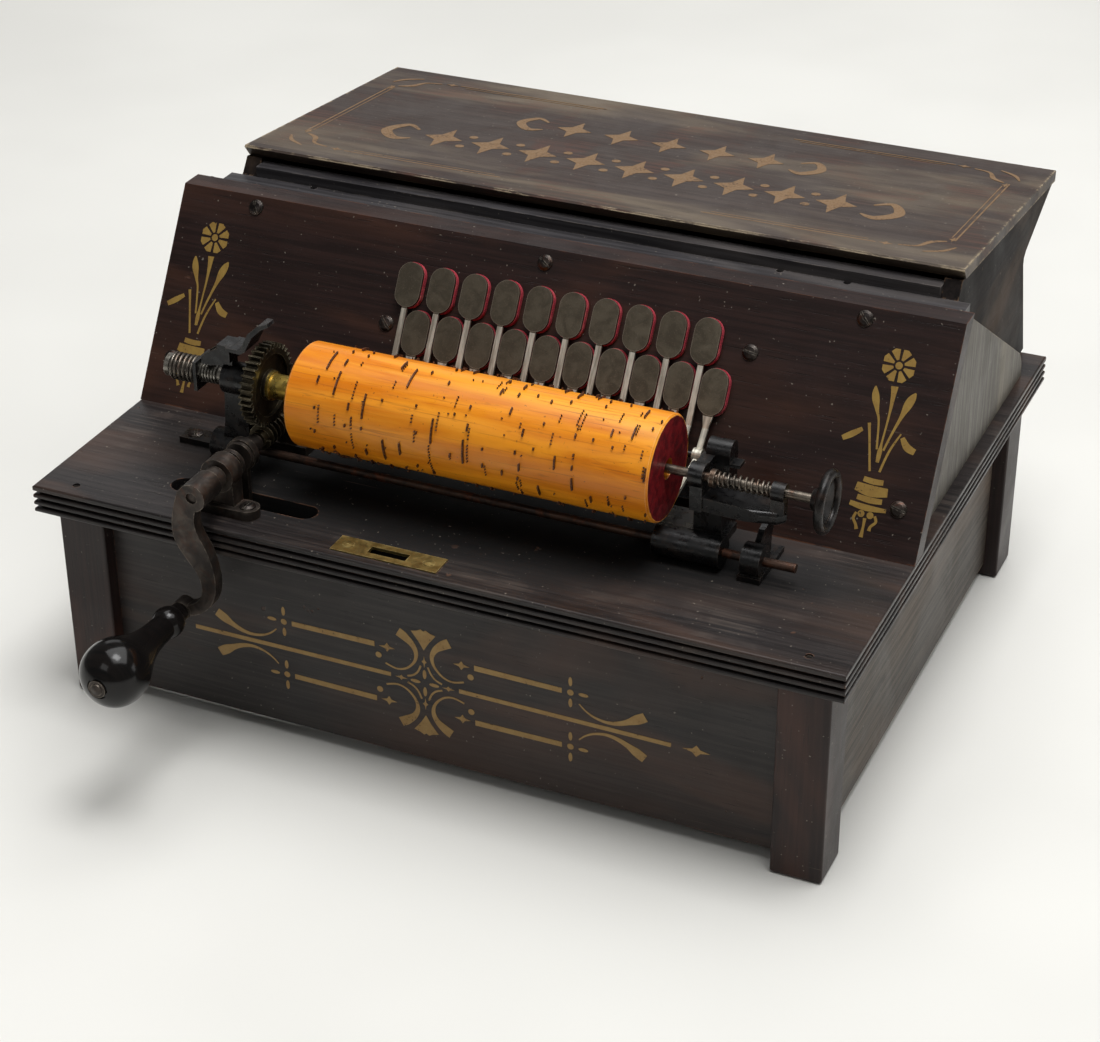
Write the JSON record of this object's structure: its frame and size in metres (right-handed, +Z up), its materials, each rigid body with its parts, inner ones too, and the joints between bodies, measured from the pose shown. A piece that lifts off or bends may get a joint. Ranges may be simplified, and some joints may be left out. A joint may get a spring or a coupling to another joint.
{
  "type": "roller organ",
  "caption": "Hand-cranked roller organ: a pinned wooden cylinder turned by a worm opens rows of valve keys on a sloping board, in a dark stencilled wooden case.",
  "frame": {"origin": "on the surface it stands on, at the middle of the overall footprint (crank handle to rear lid edge)", "axes": "+X to the player's right, +Y to the rear, +Z up"},
  "size_m": [0.378, 0.417, 0.2073],
  "materials": {
    "ebonised_wood": "satin, dark stained, worn at the edges",
    "dark_lid": "satin, dark stained, worn stencil",
    "plain_wood": "bare pine",
    "roller_wood": "varnished maple",
    "pin_steel": "oxidised pins",
    "bright_steel": "worn steel",
    "pallet_metal": "tarnished tinned steel over red felt",
    "black_iron": "black japan, worn",
    "grey_iron": "bare worn casting",
    "dark_bronze": "oiled dark iron",
    "brass": "aged brass",
    "black_gloss": "black lacquered turned wood",
    "cloth": "rubberised bellows cloth",
    "screw_steel": "blackened steel"
  },
  "bodies": {
    "case": {"deck_board": "ebonised_wood", "lock_plate": "brass", "corner_posts": "ebonised_wood", "base_front_panel": "ebonised_wood", "base_rear_panels": "ebonised_wood", "valve_board": "ebonised_wood", "side_cheeks": "ebonised_wood", "lid_rails": "ebonised_wood", "lid_side_boards": "ebonised_wood", "lid_top_board": "dark_lid", "lid_back_board": "ebonised_wood", "reed_pan": "plain_wood", "brass_reeds": "brass", "key_rail": "black_iron", "feed_spring": "bright_steel", "left_bracket": "black_iron", "crank_bearings": "grey_iron", "wind_board": "plain_wood", "feeder_cloth": "cloth", "reservoir_cloth": "cloth", "right_bracket": "black_iron", "iron_screws": "screw_steel"},
    "crank": {"crankshaft": "grey_iron", "drive_worm": "dark_bronze", "crank_arm": "grey_iron"},
    "handle": {"crank_knob": "black_gloss"},
    "link": {"pitman": "grey_iron"},
    "carriage": {"slide_rod": "bright_steel", "roller_frame": "black_iron", "arbor_spring": "bright_steel"},
    "roller_assembly": {"roller": "roller_wood", "roller_pins": "pin_steel", "drive_gear": "dark_bronze", "gear_hub": "brass", "mandrel": "bright_steel"},
    "arbor_assembly": {"arbor": "bright_steel", "arbor_knob": "grey_iron"},
    "lever": {"feed_lever": "grey_iron"},
    "feeder": {"feeder_board": "plain_wood"},
    "reservoir": {"reservoir_board": "plain_wood"},
    "valve_key_01": {"key_01": "pallet_metal"},
    "valve_key_02": {"key_02": "pallet_metal"},
    "valve_key_03": {"key_03": "pallet_metal"},
    "valve_key_04": {"key_04": "pallet_metal"},
    "valve_key_05": {"key_05": "pallet_metal"},
    "valve_key_06": {"key_06": "pallet_metal"},
    "valve_key_07": {"key_07": "pallet_metal"},
    "valve_key_08": {"key_08": "pallet_metal"},
    "valve_key_09": {"key_09": "pallet_metal"},
    "valve_key_10": {"key_10": "pallet_metal"},
    "valve_key_11": {"key_11": "pallet_metal"},
    "valve_key_12": {"key_12": "pallet_metal"},
    "valve_key_13": {"key_13": "pallet_metal"},
    "valve_key_14": {"key_14": "pallet_metal"},
    "valve_key_15": {"key_15": "pallet_metal"},
    "valve_key_16": {"key_16": "pallet_metal"},
    "valve_key_17": {"key_17": "pallet_metal"},
    "valve_key_18": {"key_18": "pallet_metal"},
    "valve_key_19": {"key_19": "pallet_metal"},
    "valve_key_20": {"key_20": "pallet_metal"}
  },
  "joints": [
    {"name": "crank_spin", "type": "hinge", "parent": "case", "child": "crank", "pos_m": [-0.1002, -0.07825, 0.1296], "axis": [0, 1, 0], "continuous": true},
    {"name": "knob_spin", "type": "hinge", "parent": "crank", "child": "handle", "pos_m": [-0.1102, -0.17825, 0.0712], "axis": [0, 1, 0], "continuous": true},
    {"name": "pitman_swing", "type": "hinge", "parent": "crank", "child": "link", "pos_m": [-0.1002, -0.10245, 0.1036], "axis": [0, 1, 0], "continuous": true},
    {"name": "carriage_shift", "type": "slide", "parent": "case", "child": "carriage", "axis": [1, 0, 0], "range_m": [0, 0.003], "stiffness_N_per_m": 200, "springref_m": -0.005, "deforming": ["feed_spring"]},
    {"name": "roller_spin", "type": "hinge", "parent": "carriage", "child": "roller_assembly", "pos_m": [0, -0.07275, 0.1526], "axis": [1, 0, 0], "continuous": true},
    {"name": "arbor_slide", "type": "slide", "parent": "carriage", "child": "arbor_assembly", "axis": [1, 0, 0], "range_m": [0, 0.014], "stiffness_N_per_m": 300, "springref_m": -0.005, "deforming": ["arbor_spring"]},
    {"name": "feed_lever_press", "type": "hinge", "parent": "case", "child": "lever", "pos_m": [-0.1185, -0.07275, 0.1645], "axis": [0, 1, 0], "range_deg": [0, 7], "stiffness_Nm_per_rad": 0.05, "springref_deg": -5.73},
    {"name": "feeder_swing", "type": "hinge", "parent": "case", "child": "feeder", "pos_m": [-0.077, 0.13375, 0.085], "axis": [-1, 0, 0], "range_deg": [0, 11.2], "deforming": ["feeder_cloth"]},
    {"name": "reservoir_swing", "type": "hinge", "parent": "case", "child": "reservoir", "pos_m": [0.077, 0.13375, 0.085], "axis": [-1, 0, 0], "range_deg": [0, 8.2], "deforming": ["reservoir_cloth"]},
    {"name": "key_01_lift", "type": "hinge", "parent": "case", "child": "valve_key_01", "pos_m": [-0.0633, -0.03146, 0.13723], "axis": [1, 0, 0], "range_deg": [0, 4], "stiffness_Nm_per_rad": 0.03, "springref_deg": -5.73},
    {"name": "key_02_lift", "type": "hinge", "parent": "case", "child": "valve_key_02", "pos_m": [-0.05535, -0.03146, 0.13723], "axis": [1, 0, 0], "range_deg": [0, 4], "stiffness_Nm_per_rad": 0.03, "springref_deg": -5.73},
    {"name": "key_03_lift", "type": "hinge", "parent": "case", "child": "valve_key_03", "pos_m": [-0.0474, -0.03146, 0.13723], "axis": [1, 0, 0], "range_deg": [0, 4], "stiffness_Nm_per_rad": 0.03, "springref_deg": -5.73},
    {"name": "key_04_lift", "type": "hinge", "parent": "case", "child": "valve_key_04", "pos_m": [-0.03945, -0.03146, 0.13723], "axis": [1, 0, 0], "range_deg": [0, 4], "stiffness_Nm_per_rad": 0.03, "springref_deg": -5.73},
    {"name": "key_05_lift", "type": "hinge", "parent": "case", "child": "valve_key_05", "pos_m": [-0.0315, -0.03146, 0.13723], "axis": [1, 0, 0], "range_deg": [0, 4], "stiffness_Nm_per_rad": 0.03, "springref_deg": -5.73},
    {"name": "key_06_lift", "type": "hinge", "parent": "case", "child": "valve_key_06", "pos_m": [-0.02355, -0.03146, 0.13723], "axis": [1, 0, 0], "range_deg": [0, 4], "stiffness_Nm_per_rad": 0.03, "springref_deg": -5.73},
    {"name": "key_07_lift", "type": "hinge", "parent": "case", "child": "valve_key_07", "pos_m": [-0.0156, -0.03146, 0.13723], "axis": [1, 0, 0], "range_deg": [0, 4], "stiffness_Nm_per_rad": 0.03, "springref_deg": -5.73},
    {"name": "key_08_lift", "type": "hinge", "parent": "case", "child": "valve_key_08", "pos_m": [-0.00765, -0.03146, 0.13723], "axis": [1, 0, 0], "range_deg": [0, 4], "stiffness_Nm_per_rad": 0.03, "springref_deg": -5.73},
    {"name": "key_09_lift", "type": "hinge", "parent": "case", "child": "valve_key_09", "pos_m": [0.0003, -0.03146, 0.13723], "axis": [1, 0, 0], "range_deg": [0, 4], "stiffness_Nm_per_rad": 0.03, "springref_deg": -5.73},
    {"name": "key_10_lift", "type": "hinge", "parent": "case", "child": "valve_key_10", "pos_m": [0.00825, -0.03146, 0.13723], "axis": [1, 0, 0], "range_deg": [0, 4], "stiffness_Nm_per_rad": 0.03, "springref_deg": -5.73},
    {"name": "key_11_lift", "type": "hinge", "parent": "case", "child": "valve_key_11", "pos_m": [0.0162, -0.03146, 0.13723], "axis": [1, 0, 0], "range_deg": [0, 4], "stiffness_Nm_per_rad": 0.03, "springref_deg": -5.73},
    {"name": "key_12_lift", "type": "hinge", "parent": "case", "child": "valve_key_12", "pos_m": [0.02415, -0.03146, 0.13723], "axis": [1, 0, 0], "range_deg": [0, 4], "stiffness_Nm_per_rad": 0.03, "springref_deg": -5.73},
    {"name": "key_13_lift", "type": "hinge", "parent": "case", "child": "valve_key_13", "pos_m": [0.0321, -0.03146, 0.13723], "axis": [1, 0, 0], "range_deg": [0, 4], "stiffness_Nm_per_rad": 0.03, "springref_deg": -5.73},
    {"name": "key_14_lift", "type": "hinge", "parent": "case", "child": "valve_key_14", "pos_m": [0.04005, -0.03146, 0.13723], "axis": [1, 0, 0], "range_deg": [0, 4], "stiffness_Nm_per_rad": 0.03, "springref_deg": -5.73},
    {"name": "key_15_lift", "type": "hinge", "parent": "case", "child": "valve_key_15", "pos_m": [0.048, -0.03146, 0.13723], "axis": [1, 0, 0], "range_deg": [0, 4], "stiffness_Nm_per_rad": 0.03, "springref_deg": -5.73},
    {"name": "key_16_lift", "type": "hinge", "parent": "case", "child": "valve_key_16", "pos_m": [0.05595, -0.03146, 0.13723], "axis": [1, 0, 0], "range_deg": [0, 4], "stiffness_Nm_per_rad": 0.03, "springref_deg": -5.73},
    {"name": "key_17_lift", "type": "hinge", "parent": "case", "child": "valve_key_17", "pos_m": [0.0639, -0.03146, 0.13723], "axis": [1, 0, 0], "range_deg": [0, 4], "stiffness_Nm_per_rad": 0.03, "springref_deg": -5.73},
    {"name": "key_18_lift", "type": "hinge", "parent": "case", "child": "valve_key_18", "pos_m": [0.07185, -0.03146, 0.13723], "axis": [1, 0, 0], "range_deg": [0, 4], "stiffness_Nm_per_rad": 0.03, "springref_deg": -5.73},
    {"name": "key_19_lift", "type": "hinge", "parent": "case", "child": "valve_key_19", "pos_m": [0.0798, -0.03146, 0.13723], "axis": [1, 0, 0], "range_deg": [0, 4], "stiffness_Nm_per_rad": 0.03, "springref_deg": -5.73},
    {"name": "key_20_lift", "type": "hinge", "parent": "case", "child": "valve_key_20", "pos_m": [0.08775, -0.03146, 0.13723], "axis": [1, 0, 0], "range_deg": [0, 4], "stiffness_Nm_per_rad": 0.03, "springref_deg": -5.73}
  ],
  "couplings": [
    {"joint": "roller_spin", "follows": "crank_spin", "ratio": -0.027778},
    {"joint": "pitman_swing", "follows": "crank_spin", "ratio": -1}
  ]
}
